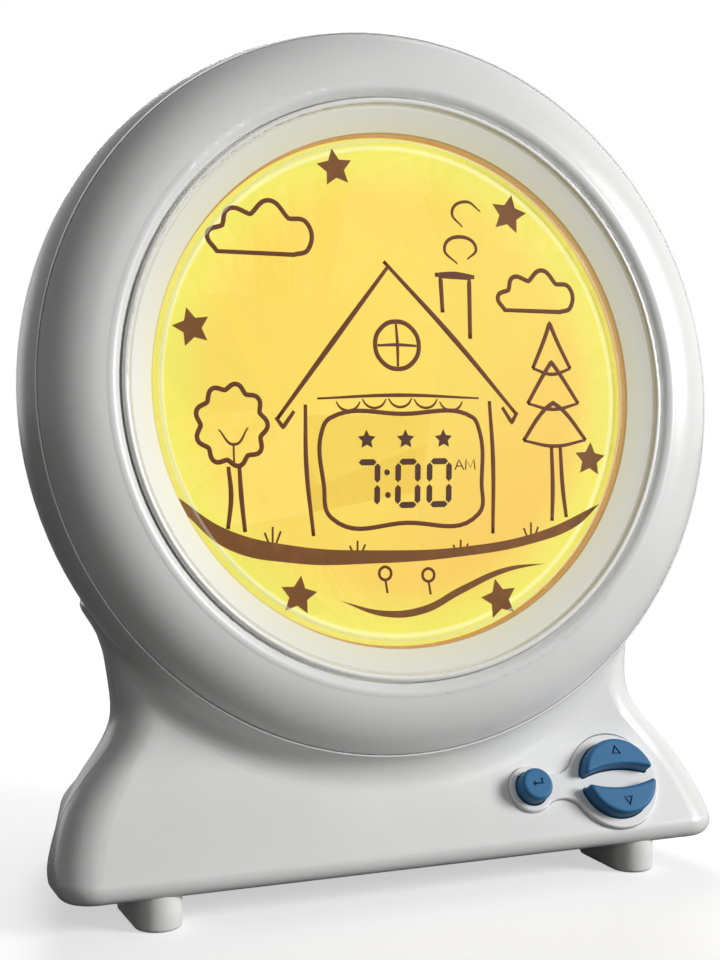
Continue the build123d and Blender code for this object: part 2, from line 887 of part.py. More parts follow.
def key_board():
    width = key_board_right - key_board_left
    height = key_board_low + key_board_high
    middle = Pos(key_board_left + width / 2, (key_board_high - key_board_low) / 2, 0)
    place = Pos(0, 0, -switch_foot - key_board_thick) * middle
    board = place * Box(width, height, key_board_thick, align=MIN_END)
    for x, y in key_boss_places:
        board = board - Pos(x, y, -20) * Cylinder(small_screw_r + screw_clear, 40)
    return in_keys(board)


# ---------------------------------------------------------------- feet
def foot_pair(x, start, stem_y, base):
    """Two stadium feet that follow the underside, each with a barbed stem."""
    feet = []
    for side in (-1, 1):
        plan = SlotOverall(foot_length, 2 * foot_half, rotation=90)
        pad = extrude(Pos(side * x, start + foot_length / 2) * plan, floor_gap + 3)
        pad = fillet(pad.edges().group_by(Axis.Z)[0], 0.8)
        stem = Pos(side * x, stem_y, 1) * Cylinder(
            foot_stem_r, inside_floor + foot_barb_height - 1, align=MIN_END)
        barb = Pos(side * x, stem_y, inside_floor + snug) * Cone(
            foot_stem_r + foot_barb, foot_stem_r, foot_barb_height, align=MIN_END)
        feet.append((pad - base) + stem + barb)
    return total(feet)


def front_stem_y():
    """Y of the front feet's stems, behind the parting plane."""
    return parting_y(floor_gap) + foot_stem_r + foot_barb + foot_seam_gap


def rear_foot_y():
    return back_edge - rear_foot_tail - foot_length / 2


# ---------------------------------------------------------------- screws
def screw(radius, length, head_r, head):
    """Screw with its head on +Z and its tip on -Z."""
    body = Cylinder(radius, length, align=(Align.CENTER, Align.CENTER, Align.MAX))
    top = Cylinder(head_r, head, align=MIN_END)
    top = top - Pos(0, 0, head / 2) * Box(2 * radius, 0.5, head) - Pos(0, 0, head / 2) * Box(0.5, 2 * radius, head)
    return body + top


def screw_from_behind(radius, length, head_r, head, x, depth, z):
    """Screw whose head sits at a depth and whose tip points to the front."""
    return Pos(x, depth, z) * Rot(-90, 0, 0) * screw(radius, length, head_r, head)


def housing_screws():
    seat = parting_depth + seam / 2 + sleeve_seat
    length = sleeve_seat + seam + pilot_depth - pilot_spare
    return in_dial(total([
        screw_from_behind(screw_r, length, screw_head_r, screw_head, x, seat, z) for x, z in head_posts()
    ]))


def small_screws(places, depth, length):
    return in_dial(total([
        screw_from_behind(small_screw_r, length, small_head_r, small_head, x, depth, z)
        for x, z in places
    ]))


def key_board_screws():
    back = switch_foot + key_board_thick
    pieces = []
    for x, y in key_boss_places:
        turned_over = Rot(180, 0, 0) * screw(small_screw_r, key_screw_length, small_head_r, small_head)
        pieces.append(Pos(x, y, -back) * turned_over)
    return in_keys(total(pieces))


# ---------------------------------------------------------------- speaker
def speaker_basket():
    """Round basket that faces down through the grille."""
    place = Pos(speaker_x, speaker_y, inside_floor)
    rim = Cylinder(speaker_r, 1.6, align=MIN_END)
    bowl = Cone(speaker_r - 1.5, magnet_r + 2, speaker_height, align=MIN_END)
    hollow = Cone(speaker_r - 2.7, magnet_r + 0.8, speaker_height - 1.2, align=MIN_END)
    return place * (rim + bowl - hollow)


def speaker_cone():
    """Paper cone with its dust cap, inside the basket."""
    place = Pos(speaker_x, speaker_y, inside_floor + 0.3)
    skin = Cone(speaker_r - 3.1, magnet_r + 0.4, speaker_height - 1.5, align=MIN_END)
    hollow = Cone(speaker_r - 3.7, magnet_r - 0.2, speaker_height - 1.9, align=MIN_END)
    return place * (skin - hollow)


def speaker_magnet():
    place = Pos(speaker_x, speaker_y, inside_floor + speaker_height)
    return place * Cylinder(magnet_r, magnet_height, align=MIN_END)


def speaker_clamps():
    """Three clips that hold the basket's rim to the floor."""
    clips = []
    for turn in (0, 120, 240):
        a = radians(turn)
        place = Pos(speaker_x + (speaker_r + 2.2) * cos(a), speaker_y + (speaker_r + 2.2) * sin(a), inside_floor)
        post = Cylinder(2.0, 2.6, align=MIN_END)
        tab = Pos(-1.6, 0, 1.6) * Box(5.0, 4.0, 1.0, align=MIN_END)
        clips.append(place * Rot(0, 0, turn) * (post + tab))
    return total(clips)


# ---------------------------------------------------------------- inlet
def inlet():
    """Barrel inlet: square body, round nose and a bore for the plug."""
    nose_start = inlet_face - wall
    body_y = nose_start - inlet_length / 2
    body = Pos(inlet_x, body_y, inlet_height) * Box(inlet_body, inlet_length, inlet_body)
    axis = Pos(inlet_x, nose_start, inlet_height) * Rot(-90, 0, 0)
    nose = axis * Cylinder(inlet_nose_r, wall, align=MIN_END)
    bore = Pos(0, wall - inlet_bore_depth, 0) * axis * Cylinder(inlet_bore_r, 20, align=MIN_END)
    return body + nose - bore


def inlet_pin():
    foot = inlet_face - inlet_bore_depth
    axis = Pos(inlet_x, foot, inlet_height) * Rot(-90, 0, 0)
    return axis * Cylinder(inlet_pin_r, inlet_bore_depth - 0.8, align=MIN_END)


# ---------------------------------------------------------------- wires
def dial_point(x, depth, z):
    """A point of the dial frame in the clock's frame."""
    return in_dial(Pos(x, depth, z) * Sphere(1)).center()


def key_point(x, y, z):
    """A point of the key frame in the clock's frame."""
    return in_keys(Pos(x, y, z) * Sphere(1)).center()


def cable(start, lead, x):
    """Wire bundle from a part in the base up to its socket."""
    low = main_z - main_height / 2 + socket_rise
    middle = main_back + socket_depth / 2
    points = [start, lead, dial_point(x, middle, low - cable_rise), dial_point(x, middle, low)]
    points = [(p.X, p.Y, p.Z) for p in points]
    return along(points, wire_r, bend_radii(points))


def key_cable():
    back = switch_foot + key_board_thick
    x, y = key_cable_place
    return cable(key_point(x, y, -back), key_point(x, y, -back - cable_rise), socket_places[3])


def speaker_cable():
    top = inside_floor + speaker_height + magnet_height
    start = Vector(speaker_x, speaker_y, top)
    return cable(start, Vector(speaker_x, speaker_y, top + cable_rise), socket_places[0])


def inlet_cable():
    back = inlet_face - wall - inlet_length
    start = Vector(inlet_x - inlet_body / 4, back, inlet_height)
    return cable(start, Vector(inlet_x - inlet_body / 4, back - cable_rise / 2, inlet_height), socket_places[2])


def lcd_ribbon():
    """Flat ribbon from the display, out of the light box, to the main board."""
    start_z = lcd_z - lcd_height / 2 - 0.1
    slot_mid = deck_back + box_wall + 2.1
    low = -box_r - 3.5
    far = main_back + 4.0
    socket_low = main_z - main_height / 2 + 0.5
    points = [
        (deck_depth + 1.0, start_z),
        (deck_depth + 1.0, -box_r + 6.0),
        (slot_mid, -box_r + 3.5),
        (slot_mid, low),
        (far, low),
        (far, socket_low - 8),
        (main_back + 1.2, socket_low - 3),
        (main_back + 1.2, socket_low - ribbon_thick),
    ]
    line = FilletPolyline(*points, radius=[1.5] * (len(points) - 2))
    strip = offset(line, ribbon_thick / 2, kind=Kind.ARC, side=Side.BOTH, closed=True)
    sheet = Plane.YZ * make_face(strip)
    return in_dial(Pos(lcd_x, 0, 0) * extrude(sheet, ribbon_width / 2, both=True))


# ---------------------------------------------------------------- writing out
def save(name, shape):
    export_step(shape, f"parts/{name}.step")


def main():
    os.makedirs("parts", exist_ok=True)
    head = in_dial(head_form(0.0))
    base = base_form(0.0)
    inner = inner_form()
    save("front_housing", front_housing(front_form(head, base), inner))
    save("rear_housing", rear_housing(rear_form(head, base), inner))
    save("bezel_ring", bezel_ring())
    save("trim_ring", trim_ring())
    save("dish_ring", dish_ring())
    save("clear_lens", clear_lens())
    save("picture_film", picture_film())
    save("diffuser_plate", diffuser_plate())
    save("lcd_panel", lcd_panel())
    save("lcd_frame", lcd_frame())
    save("lcd_ribbon", lcd_ribbon())
    save("light_box", light_box())
    save("led_board", led_board())
    save("leds", leds())
    save("led_header", led_header())
    save("main_board", main_board())
    save("main_parts", main_parts())
    save("cable_sockets", plugs())
    save("ribbon_socket", ribbon_socket())
    save("button_plate", button_plate())
    save("ok_button", key(ok_outline(0), ok_outline(flange_out), ok_x, 0.0, enter_mark()))
    save("up_button", key(crescent(1, 0), crescent(1, flange_out), pair_x, pair_stem, triangle_mark(1)))
    save("down_button", key(crescent(-1, 0), crescent(-1, flange_out), pair_x, -pair_stem, triangle_mark(-1)))
    for name in ("ok", "up", "down"):
        save(f"{name}_plunger", plunger(name))
    save("key_switches", switches())
    save("key_board", key_board())
    save("key_cable", key_cable())
    save("front_feet", foot_pair(foot_x, dial_y - front_foot_nose, front_stem_y(), base))
    save("rear_feet", foot_pair(rear_foot_x, rear_foot_y() - foot_length / 2, rear_foot_y(), base))
    save("housing_screws", housing_screws())
    save("bezel_screws", small_screws(bezel_screw_places(), deck_back, bezel_screw_length))
    save("light_box_screws", small_screws(box_screw_places(), deck_back + box_wall, box_screw_length))
    led_screw_seat = led_board_depth + board_thick
    save("led_board_screws", small_screws(led_screw_places(), led_screw_seat, led_board_screw_length))
    save("main_board_screws", small_screws(main_posts(), main_back, main_screw_length))
    save("key_board_screws", key_board_screws())
    save("speaker_basket", speaker_basket())
    save("speaker_cone", speaker_cone())
    save("speaker_magnet", speaker_magnet())
    save("speaker_clamps", speaker_clamps())
    save("speaker_cable", speaker_cable())
    save("power_inlet", inlet())
    save("inlet_pin", inlet_pin())
    save("inlet_cable", inlet_cable())


main()
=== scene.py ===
from math import cos, pi, radians, sin

import bmesh
import bpy
from mathutils import Matrix, Vector


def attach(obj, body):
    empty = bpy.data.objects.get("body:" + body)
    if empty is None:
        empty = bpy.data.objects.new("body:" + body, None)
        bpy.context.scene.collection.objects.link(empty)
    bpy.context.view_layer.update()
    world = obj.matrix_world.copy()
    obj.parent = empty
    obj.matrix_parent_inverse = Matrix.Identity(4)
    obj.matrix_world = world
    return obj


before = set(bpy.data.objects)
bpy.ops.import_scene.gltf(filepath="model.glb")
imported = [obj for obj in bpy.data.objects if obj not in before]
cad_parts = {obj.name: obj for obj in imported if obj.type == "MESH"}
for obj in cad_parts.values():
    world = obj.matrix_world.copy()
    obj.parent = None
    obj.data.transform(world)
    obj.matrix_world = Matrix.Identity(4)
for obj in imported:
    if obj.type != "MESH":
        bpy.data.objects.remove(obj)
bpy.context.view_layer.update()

bl_info = {
    "name": "Bedside picture clock",
    "version": (1, 0, 0),
    "blender": (4, 5, 0),
    "location": "View3D > Sidebar > Clock",
    "description": "Dresses a bedside clock with a lit picture dial",
    "category": "Object",
}

MM = 0.001
BODY = "clock"
BLACK = (0.0, 0.0, 0.0, 1.0)
WHITE = (1.0, 1.0, 1.0, 1.0)

# The dial: its lean from upright and the middle of its face.
DIAL_TILT = radians(6.0)
DIAL_PLACE = Vector((0.0, -34.906, 119.1)) * MM

# Ink on the dial, mm: its depth behind the face, how far its round strokes are flattened,
# the thickness of filled shapes, and how near two points count as one.
INK_DEPTH = 5.9
INK_FLAT = 0.07
FILL_THICK = 0.06
WELD = 0.0005

# The sloped face that carries the keys, mm: its lean, the height of its middle, the gap under
# the base, and how far the base's toe stands in front of the dial.
KEY_LEAN = radians(31.0)
KEY_HEIGHT = 22.0
FLOOR_GAP = 7.3
KEY_TOE = 9.2
KEY_SETBACK = (KEY_HEIGHT - FLOOR_GAP) * sin(KEY_LEAN) / cos(KEY_LEAN)
KEY_PLACE = Vector((0.0, DIAL_PLACE.y / MM - KEY_TOE + KEY_SETBACK, KEY_HEIGHT)) * MM

# The keys' marks, mm: the places of the keys, the height of their tops over the sloped face,
# and the depth, lift, reach, line width and flattening of the marks in them.
OK_X = 31.7
PAIR_X = 54.8
PAIR_MARK = 6.15
KEY_TOP = 5.5
MARK_DEPTH = 0.35
MARK_LIFT = 0.03
MARK_REACH = 1.25
MARK_LINE = 0.32
MARK_FLAT = 0.12

# The time, mm: the height of its middle on the dial. Width, bar and gap are shares of a
# digit's height, and the slant is how far a digit leans to the right for each mm up.
TIME_Y = -21.95
DIGIT_WIDE = 0.56
DIGIT_BAR = 0.125
DIGIT_GAP = 0.022
DIGIT_SLANT = 0.06
LIT_BARS = {"7": "abc", "0": "abcdef"}

# Studio lamps: name, place, target, side of the square and watts.
LAMPS = (
    ("key lamp", (1.08, -0.86, 0.52), (0.0, -0.02, 0.11), 0.5, 18.2),
    ("fill lamp", (-0.05, -1.35, 0.62), (0.0, -0.02, 0.13), 0.5, 2.2),
    ("left lamp", (-0.6, 1.05, 0.25), (0.0, 0.0, 0.1), 0.5, 0.9),
    ("back lamp", (0.35, 1.15, 0.7), (0.0, 0.0, 0.1), 0.7, 13.0),
)
ROOM_LIGHT = 0.012

# The floor: half its side, where it turns from shadowed to plain white, its grey to the eye
# and to other rays, and the light that it adds of its own near the object.
FLOOR_HALF = 3.0
FLOOR_NEAR, FLOOR_FAR = 0.16, 0.5
FLOOR_SEEN = (0.62, 0.62, 0.62, 1.0)
FLOOR_DULL = (0.06, 0.06, 0.06, 1.0)
FLOOR_LIFT = 0.55

# The camera: its place, how far it looks down and to the right in degrees, and its lens.
CAMERA_PLACE = (-0.1558, -0.38291, 0.1156)
CAMERA_DROP = 2.704
CAMERA_TURN = 22.406
CAMERA_LENS = 61.64
CAMERA_SENSOR = 36.0


# ------------------------------------------------------------------ placing
def leaning(place, lean, height):
    """Millimetres on a leaning face, x right, y up it and z out of it, to metres in the room."""
    turn = Matrix((
        (1.0, 0.0, 0.0),
        (0.0, sin(lean), -cos(lean)),
        (0.0, cos(lean), sin(lean)),
    )).to_4x4()
    scale = Matrix.Diagonal((MM, MM, MM, 1.0))
    return Matrix.Translation(place) @ turn @ scale @ Matrix.Translation((0.0, 0.0, height))


def on_dial(depth):
    """Places a drawing at a depth behind the dial's face."""
    return leaning(DIAL_PLACE, DIAL_TILT, -depth)


def on_keys(height):
    """Places a drawing at a height over the sloped face."""
    return leaning(KEY_PLACE, KEY_LEAN, height)


# ------------------------------------------------------------------ colours
def srgb(red, green, blue):
    """A colour as seen on a screen, 0 to 255, as the linear one shaders use."""
    linear = []
    for part in (red, green, blue):
        part = part / 255.0
        linear.append(part / 12.92 if part <= 0.04045 else ((part + 0.055) / 1.055) ** 2.4)
    return (*linear, 1.0)


def scaled(color, factor, lift=0.0):
    """A darker or lighter colour, no brighter than white."""
    return (*(min(1.0, part * factor + lift) for part in color[:3]), 1.0)


# ------------------------------------------------------------------ shader sums
class Wire:
    """A shader socket that can be added, subtracted, multiplied and divided."""

    def __init__(self, sheet, socket):
        self.sheet = sheet
        self.socket = socket

    def out(self, name):
        """Another output of the same node."""
        return Wire(self.sheet, self.socket.node.outputs[name])

    def math(self, operation):
        """A Math node on this value alone, such as its sine."""
        return self.sheet.math(operation, self)

    def __add__(self, other):
        return self.sheet.math("ADD", self, other)

    def __radd__(self, other):
        return self.sheet.math("ADD", other, self)

    def __sub__(self, other):
        return self.sheet.math("SUBTRACT", self, other)

    def __rsub__(self, other):
        return self.sheet.math("SUBTRACT", other, self)

    def __mul__(self, other):
        return self.sheet.math("MULTIPLY", self, other)

    def __rmul__(self, other):
        return self.sheet.math("MULTIPLY", other, self)

    def __truediv__(self, other):
        return self.sheet.math("DIVIDE", self, other)

    def __rtruediv__(self, other):
        return self.sheet.math("DIVIDE", other, self)


class Sheet:
    """A node tree, with one way to make its nodes."""

    def __init__(self, tree):
        self.tree = tree

    def feed(self, socket, value):
        """Link a wire to a socket, or set a plain value on it."""
        if isinstance(value, Wire):
            self.tree.links.new(value.socket, socket)
        else:
            socket.default_value = value

    def node(self, kind, settings=None, inputs=None, out=0):
        """A node: its settings first, then its sockets by name or number."""
        made = self.tree.nodes.new(kind)
        for key, value in (settings or {}).items():
            setattr(made, key, value)
        for key, value in (inputs or {}).items():
            self.feed(made.inputs[key], value)
        return Wire(self, made.outputs[out]) if made.outputs else None

    def math(self, operation, *values):
        """A Math node on numbers and wires."""
        return self.node("ShaderNodeMath", {"operation": operation}, dict(enumerate(values)))

    def mix(self, factor, first, second):
        """The first colour at a factor of 0 and the second at 1."""
        colors = {0: factor, 6: first, 7: second}
        return self.node("ShaderNodeMix", {"data_type": "RGBA"}, colors, out=2)

    def ramp(self, value, low, high):
        """0 at low, 1 at high and smooth between."""
        ends = {"Value": value, "From Min": low, "From Max": high}
        return self.node("ShaderNodeMapRange", {"interpolation_type": "SMOOTHSTEP"}, ends)


class Finish(Sheet):
    """One procedural material: a Principled shader and the nodes that feed it."""

    def __init__(self, name, **fixed):
        self.material = bpy.data.materials.new(name)
        self.material.use_nodes = True
        super().__init__(self.material.node_tree)
        self.shader = self.tree.nodes["Principled BSDF"]
        self.set(**fixed)
        self.place = self.node("ShaderNodeTexCoord", out="Object")

    def set(self, **values):
        """Feed the shader's sockets, with _ for each space in their names."""
        for socket, value in values.items():
            self.feed(self.shader.inputs[socket.replace("_", " ")], value)
        return self

    def noise(self, scale, detail, stretch=None):
        """Cloudy noise from 0 to 1; stretch makes it finer along an axis."""
        where = self.place
        if stretch:
            where = self.node("ShaderNodeMapping", inputs={"Vector": where, "Scale": stretch})
        sockets = {"Vector": where, "Scale": scale, "Detail": detail}
        return self.node("ShaderNodeTexNoise", inputs=sockets)

    def axes(self):
        """The place on the object as three wires, in metres."""
        parts = self.node("ShaderNodeSeparateXYZ", inputs={"Vector": self.place})
        return [parts.out(name) for name in "XYZ"]

    def bump(self, height, depth, strength):
        """Raise the surface by height, from 0 to 1, times depth."""
        sockets = {"Height": height, "Distance": depth, "Strength": strength}
        return self.set(Normal=self.node("ShaderNodeBump", inputs=sockets, out="Normal"))

    def see_through(self):
        """Show what lies behind in the viewport."""
        self.material.blend_method = "BLEND"
        return self


def reach(across, up):
    """Distance from the middle, from two wires."""
    return (across * across + up * up).math("SQRT")


def dial_axes(finish):
    """Millimetres across the dial and up it, from its middle."""
    x, y, z = finish.axes()
    across = x / MM
    up = ((y - DIAL_PLACE.y) * sin(DIAL_TILT) + (z - DIAL_PLACE.z) * cos(DIAL_TILT)) / MM
    return across, up


# ------------------------------------------------------------------ finishes
def moulded(name, color, rough, coat=0.0, grain=0.05, shade=0.05, shine=0.5):
    """Moulded plastic: faint flow clouds, fine orange peel, handled gloss."""
    made = Finish(
        name, IOR=1.49, Coat_Weight=coat, Coat_Roughness=0.12, Specular_IOR_Level=shine)
    clouds = made.noise(28.0, 4.0)
    peel = made.noise(900.0, 2.0)
    handled = made.noise(140.0, 3.0) - 0.5
    dark = scaled(color, 1.0 - shade)
    made.set(
        Base_Color=made.mix(made.ramp(clouds, 0.3, 0.75), color, dark),
        Roughness=rough + handled * 0.08,
    )
    return made.bump(peel, grain * MM, 0.35)


def printed_yellow(name, glow):
    """Lit film: warm yellow in the middle, lemon towards the rim, a ring of painted highlight
    near the rim and a thin orange outline of painted step shadow.
    """
    made = Finish(name, Specular_IOR_Level=0.3)
    across, up = dial_axes(made)
    radius = reach(across, up)
    cloud = made.noise(26.0, 2.0)
    lower_right = made.ramp(across * 0.7 - up * 0.7 + cloud * 10.0, 8.0, 52.0)
    rim = made.ramp(radius, 44.0, 57.0)
    # Painted highlight: a pale ring just inside the window's rim.
    painted_highlight_ring = made.ramp(radius, 56.6, 57.3) - made.ramp(radius, 57.5, 58.4)
    # Painted shadow: a thin orange line round the film, where the window steps down.
    painted_edge_shadow = made.ramp(radius, 59.7, 60.0)
    tone = made.mix(lower_right, srgb(254, 222, 92), srgb(254, 208, 92))
    tone = made.mix(rim, tone, srgb(246, 238, 100))
    tone = made.mix(painted_highlight_ring, tone, srgb(255, 252, 168))
    tone = made.mix(painted_edge_shadow, tone, srgb(206, 132, 52))
    unlit = made.mix(0.12, BLACK, tone)
    return made.set(
        Base_Color=unlit, Emission_Color=tone, Emission_Strength=glow,
        Roughness=0.45 + cloud * 0.1,
    )


def ink(name, color, rough=0.5):
    """Printed ink with slightly uneven cover."""
    made = Finish(name, Specular_IOR_Level=0.25)
    blot = made.noise(320.0, 4.0)
    light = scaled(color, 1.35)
    made.set(
        Base_Color=made.mix(made.ramp(blot, 0.45, 0.8), color, light),
        Roughness=rough + blot * 0.1,
    )
    return made.bump(blot, 0.01 * MM, 0.3)


def lens_clear(name):
    """Clear window: nearly invisible in the middle, with a painted highlight line at its
    bevelled rim.
    """
    made = Finish(name, IOR=1.49)
    radius = reach(*dial_axes(made))
    dust = made.noise(60.0, 3.0)
    # Painted highlight: a pale, less clear line round the bevelled rim.
    painted_bevel_glint = made.ramp(radius, 57.9, 58.25) - made.ramp(radius, 58.45, 58.9)
    rim = made.ramp(radius, 58.3, 59.0)
    made.set(
        Base_Color=made.mix(painted_bevel_glint, srgb(255, 250, 190), srgb(255, 255, 235)),
        Roughness=0.05 + dust * 0.04,
        Alpha=0.02 + painted_bevel_glint * 0.4 + rim * 0.1,
    )
    return made.see_through()


def dish_cream(name):
    """Cream plastic with a glow that is partly light through it and partly painted light filling
    the bezel's shade, a painted warm glow near the window and a thin brown line of painted
    shadow where they meet.
    """
    made = Finish(name, IOR=1.49, Coat_Weight=0.1, Coat_Roughness=0.2)
    radius = reach(*dial_axes(made))
    cloud = made.noise(40.0, 3.0)
    # Painted light: warmer towards the window, as if lit by the film.
    near = made.ramp(radius, 65.8, 60.4)
    # Painted shadow: a thin brown line where the dish meets the window.
    painted_joint_shadow = made.ramp(radius, 60.5, 60.35)
    tone = made.mix(near, srgb(236, 234, 222), srgb(238, 235, 208))
    tone = made.mix(painted_joint_shadow, tone, srgb(196, 150, 96))
    unlit = made.mix(0.42, BLACK, tone)
    # The glow is partly light through the cream plastic and partly painted light that fills the
    # bezel's shade.
    made.set(
        Base_Color=unlit, Emission_Color=tone, Emission_Strength=0.5,
        Roughness=0.34 + cloud * 0.12,
    )
    return made.bump(made.noise(800.0, 2.0), 0.03 * MM, 0.3)


def board_green(name):
    """Circuit board: solder mask over faint copper lines and small vias."""
    made = Finish(name, Coat_Weight=0.4, Coat_Roughness=0.15)
    x, _, z = made.axes()
    wander = (x * 260.0).math("SINE") * 1.5
    lanes = (x * 900.0).math("SINE") * (z * 700.0 + wander).math("SINE")
    copper = made.ramp(lanes, 0.55, 0.62)
    spots = {"Vector": made.place, "Scale": 210.0}
    vias = made.node("ShaderNodeTexVoronoi", inputs=spots, out="Distance")
    tone = made.mix(copper, srgb(18, 88, 52), srgb(34, 122, 72))
    tone = made.mix(made.ramp(vias, 0.13, 0.1), tone, srgb(196, 190, 170))
    made.set(Base_Color=tone, Roughness=0.35 + copper * 0.1)
    return made.bump(copper, 0.03 * MM, 0.5)


def metal(name, color, rough):
    """Turned and plated metal, with fine tool rings."""
    made = Finish(name)
    fine = made.noise(500.0, 3.0, stretch=(1.0, 8.0, 1.0))
    dull = scaled(color, 0.7)
    made.set(
        Base_Color=made.mix(made.ramp(fine, 0.35, 0.7), color, dull),
        Metallic=1.0,
        Roughness=rough + fine * 0.12,
    )
    return made.bump(fine, 0.02 * MM, 0.4)


def rubbery(name, color):
    """Soft matt rubber, slightly worn in patches."""
    made = Finish(name, Specular_IOR_Level=0.35)
    grain = made.noise(700.0, 4.0)
    wear = made.noise(90.0, 4.0)
    dull = scaled(color, 0.86)
    made.set(
        Base_Color=made.mix(made.ramp(wear, 0.4, 0.75), color, dull),
        Roughness=0.62 + grain * 0.15,
    )
    return made.bump(grain, 0.05 * MM, 0.5)


def paper(name, color):
    """Pressed paper with fibres."""
    made = Finish(name, Specular_IOR_Level=0.2)
    fibre = made.noise(420.0, 5.0, stretch=(1.0, 1.0, 5.0))
    made.set(
        Base_Color=made.mix(fibre, color, scaled(color, 1.5)),
        Roughness=0.8 + fibre * 0.1,
    )
    return made.bump(fibre, 0.06 * MM, 0.6)


def sleeve(name, color):
    """Wire insulation with a soft sheen and light scuffs."""
    made = Finish(name, Specular_IOR_Level=0.4)
    scuff = made.noise(260.0, 4.0)
    pale = scaled(color, 1.4, lift=0.02)
    made.set(
        Base_Color=made.mix(made.ramp(scuff, 0.5, 0.85), color, pale),
        Roughness=0.42 + scuff * 0.15,
    )
    return made.bump(scuff, 0.02 * MM, 0.4)


def milky(name, color, glow):
    """Milky plastic with light behind it."""
    made = Finish(name, IOR=1.49, Coat_Weight=0.1)
    haze = made.noise(45.0, 3.0)
    tone = made.mix(haze, color, scaled(color, 1.06))
    return made.set(
        Base_Color=tone, Emission_Color=tone, Emission_Strength=glow,
        Roughness=0.4 + haze * 0.1,
    )


# ------------------------------------------------------------------ pieces
def dress(finish, *nodes):
    """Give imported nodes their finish."""
    for node in nodes:
        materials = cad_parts[node].data.materials
        materials.clear()
        materials.append(finish.material)


def new_piece(name, mesh, finish, body):
    """Add a drawn piece that rides on a body."""
    piece = bpy.data.objects.new(name, mesh)
    bpy.context.scene.collection.objects.link(piece)
    mesh.materials.append(finish.material)
    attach(piece, body)


def shape_mesh(curve):
    """The mesh of a curve, without leaving the curve in the scene."""
    holder = bpy.data.objects.new("holder", curve)
    bpy.context.scene.collection.objects.link(holder)
    bpy.context.view_layer.update()
    graph = bpy.context.evaluated_depsgraph_get()
    mesh = bpy.data.meshes.new_from_object(holder.evaluated_get(graph))
    bpy.data.objects.remove(holder)
    bpy.data.curves.remove(curve)
    return mesh


def add_spline(curve, points, closed, smooth=True):
    """A spline through points. A third number in a point makes it a sharp corner."""
    spline = curve.splines.new("BEZIER")
    spline.bezier_points.add(len(points) - 1)
    spline.use_cyclic_u = closed
    for point, knot in zip(points, spline.bezier_points):
        knot.co = (point[0], point[1], 0.0)
        kind = "AUTO" if smooth and len(point) < 3 else "VECTOR"
        knot.handle_left_type = kind
        knot.handle_right_type = kind
    return spline.bezier_points


def line(points, width, taper=0.0):
    """An open stroke that loses that share of its width towards both ends."""
    return points, width, False, taper


def loop(points, width):
    """A closed stroke of one width."""
    return points, width, True, 0.0


def brush(strokes, steps=10):
    """A mesh of round strokes."""
    curve = bpy.data.curves.new("brush", "CURVE")
    curve.dimensions = "3D"
    curve.bevel_depth = 0.5
    curve.bevel_resolution = 3
    curve.resolution_u = steps
    curve.use_fill_caps = True
    for points, width, closed, taper in strokes:
        knots = add_spline(curve, points, closed)
        last = len(points) - 1
        for i, knot in enumerate(knots):
            from_middle = 2.0 * i / last - 1.0
            knot.radius = width * (1.0 - taper * from_middle ** 2)
    return shape_mesh(curve)


def filled(outline, smooth=False):
    """A mesh of one filled outline with a little thickness."""
    curve = bpy.data.curves.new("filled", "CURVE")
    curve.dimensions = "2D"
    curve.fill_mode = "BOTH"
    curve.extrude = FILL_THICK / 2
    curve.resolution_u = 10
    add_spline(curve, outline, True, smooth)
    return shape_mesh(curve)


def joined(meshes, place, flatten=None):
    """One mesh from several, put in its place, with shared points merged."""
    bm = bmesh.new()
    for mesh in meshes:
        bm.from_mesh(mesh)
        bpy.data.meshes.remove(mesh)
    if flatten:
        bmesh.ops.scale(bm, vec=(1.0, 1.0, flatten), verts=bm.verts)
    bmesh.ops.remove_doubles(bm, verts=bm.verts, dist=WELD)
    bmesh.ops.recalc_face_normals(bm, faces=bm.faces)
    bmesh.ops.transform(bm, matrix=place, verts=bm.verts)
    made = bpy.data.meshes.new("piece")
    bm.to_mesh(made)
    bm.free()
    return made


# ------------------------------------------------------------------ outlines, mm
def spoke(x, y, length, angle):
    """The far end of a spoke from a middle."""
    return x + length * cos(angle), y + length * sin(angle)


def circle_points(x, y, radius, count=8):
    """Points round a circle."""
    return [spoke(x, y, radius, 2 * pi * i / count) for i in range(count)]


def arc_points(x, y, radius, start, end):
    """Six points along an arc, from a start to an end in degrees."""
    return [spoke(x, y, radius, radians(start + (end - start) * i / 5)) for i in range(6)]


def star_points(x, y, radius, turn=0.0):
    """A five-pointed star whose notches are half as far out as its tips."""
    return [
        spoke(x, y, radius * (0.5 if i % 2 else 1.0), radians(turn + 90.0 + 36.0 * i))
        for i in range(10)
    ]


